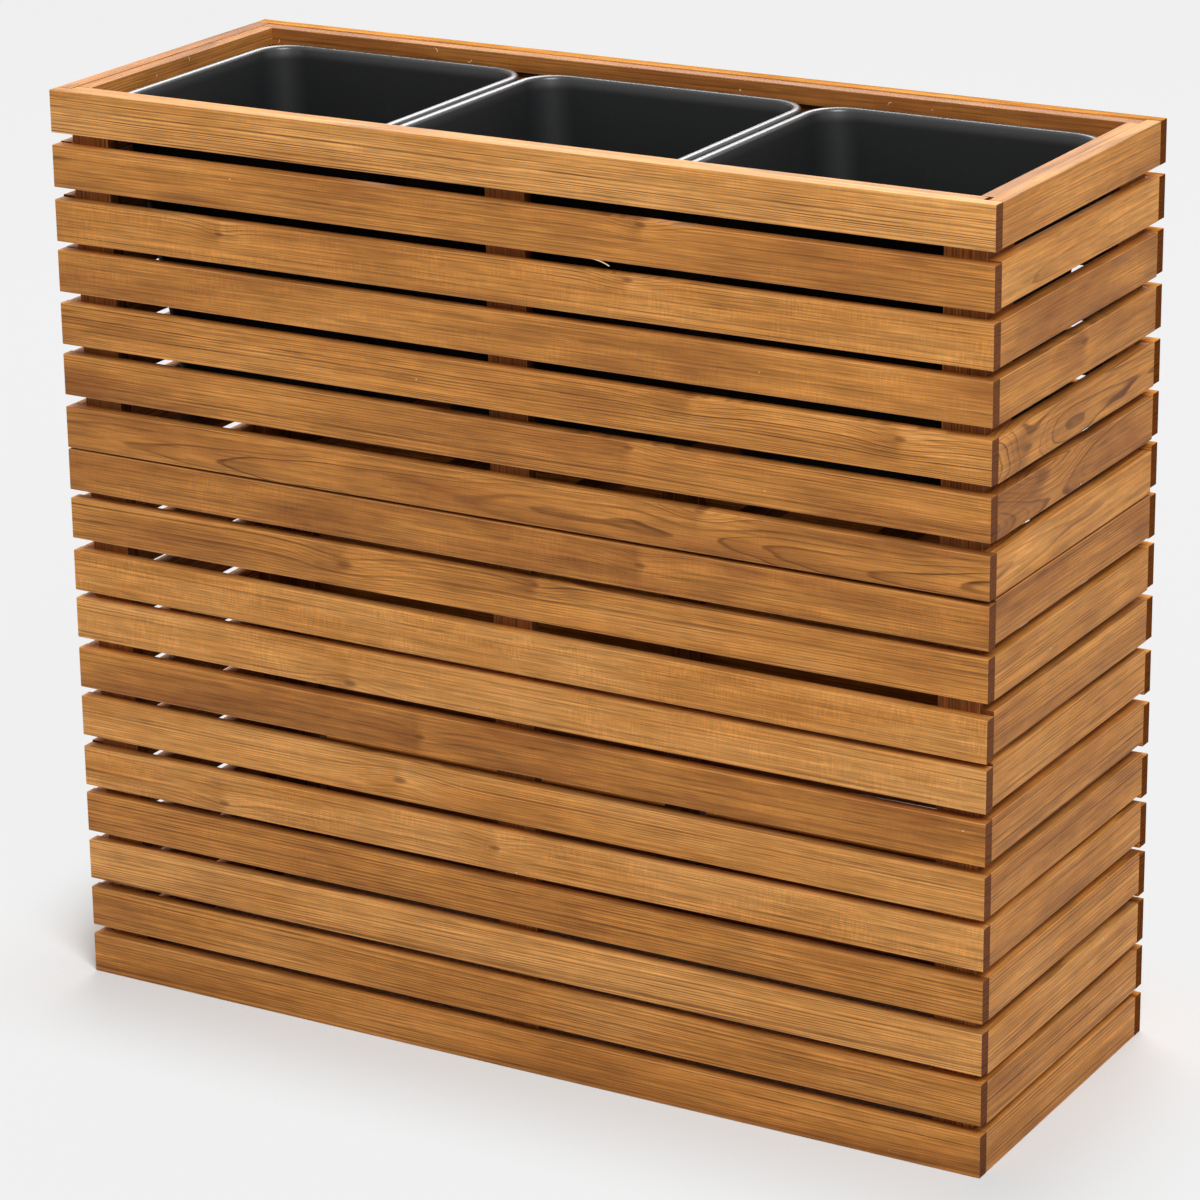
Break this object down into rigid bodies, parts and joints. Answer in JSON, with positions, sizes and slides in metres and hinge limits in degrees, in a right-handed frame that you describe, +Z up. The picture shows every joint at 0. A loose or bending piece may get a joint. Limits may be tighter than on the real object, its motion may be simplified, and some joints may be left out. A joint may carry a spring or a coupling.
{
  "type": "tall slatted planter",
  "caption": "Tall rectangular box of horizontal timber slats on hidden uprights, open at the top, with an inner shelf that carries a row of square tapered plastic pots that lift out.",
  "frame": {"origin": "on the floor under the middle of the carcass", "axes": "+X along the long side to the right, -Y out of the front, +Z up"},
  "size_m": [1.0002, 0.37, 0.921],
  "materials": {
    "slat_timber": "planed heat-treated pine, oiled",
    "rail_timber": "planed heat-treated pine",
    "inner_timber": "planed heat-treated pine, unfinished",
    "pot_plastic": "satin moulded polypropylene"
  },
  "bodies": {
    "carcass": {"front_slat_01": "slat_timber", "front_slat_02": "slat_timber", "front_slat_03": "slat_timber", "front_slat_04": "slat_timber", "front_slat_05": "slat_timber", "front_slat_06": "slat_timber", "front_slat_07": "slat_timber", "front_slat_08": "slat_timber", "front_slat_09": "slat_timber", "front_slat_10": "slat_timber", "front_slat_11": "slat_timber", "front_slat_12": "slat_timber", "front_slat_13": "slat_timber", "front_slat_14": "slat_timber", "front_slat_15": "slat_timber", "front_slat_16": "slat_timber", "front_slat_17": "slat_timber", "front_slat_18": "slat_timber", "back_slat_01": "slat_timber", "back_slat_02": "slat_timber", "back_slat_03": "slat_timber", "back_slat_04": "slat_timber", "back_slat_05": "slat_timber", "back_slat_06": "slat_timber", "back_slat_07": "slat_timber", "back_slat_08": "slat_timber", "back_slat_09": "slat_timber", "back_slat_10": "slat_timber", "back_slat_11": "slat_timber", "back_slat_12": "slat_timber", "back_slat_13": "slat_timber", "back_slat_14": "slat_timber", "back_slat_15": "slat_timber", "back_slat_16": "slat_timber", "back_slat_17": "slat_timber", "back_slat_18": "slat_timber", "left_end_panel": "slat_timber", "right_end_panel": "slat_timber", "front_left_upright": "inner_timber", "front_middle_upright": "inner_timber", "front_right_upright": "inner_timber", "back_left_upright": "inner_timber", "back_middle_upright": "inner_timber", "back_right_upright": "inner_timber", "front_rail": "rail_timber", "back_rail": "rail_timber", "left_rail": "rail_timber", "right_rail": "rail_timber", "front_ledger": "inner_timber", "back_ledger": "inner_timber", "shelf_batten_01": "inner_timber", "shelf_batten_02": "inner_timber", "shelf_batten_03": "inner_timber", "shelf_batten_04": "inner_timber", "shelf_batten_05": "inner_timber", "shelf_batten_06": "inner_timber"},
    "left_pot": {"pot_01": "pot_plastic"},
    "middle_pot": {"pot_02": "pot_plastic"},
    "right_pot": {"pot_03": "pot_plastic"}
  },
  "joints": [
    {"name": "left_pot_lift", "type": "slide", "parent": "carcass", "child": "left_pot", "axis": [0, 0, 1], "range_m": [0, 0.35]},
    {"name": "middle_pot_lift", "type": "slide", "parent": "carcass", "child": "middle_pot", "axis": [0, 0, 1], "range_m": [0, 0.35]},
    {"name": "right_pot_lift", "type": "slide", "parent": "carcass", "child": "right_pot", "axis": [0, 0, 1], "range_m": [0, 0.35]}
  ]
}
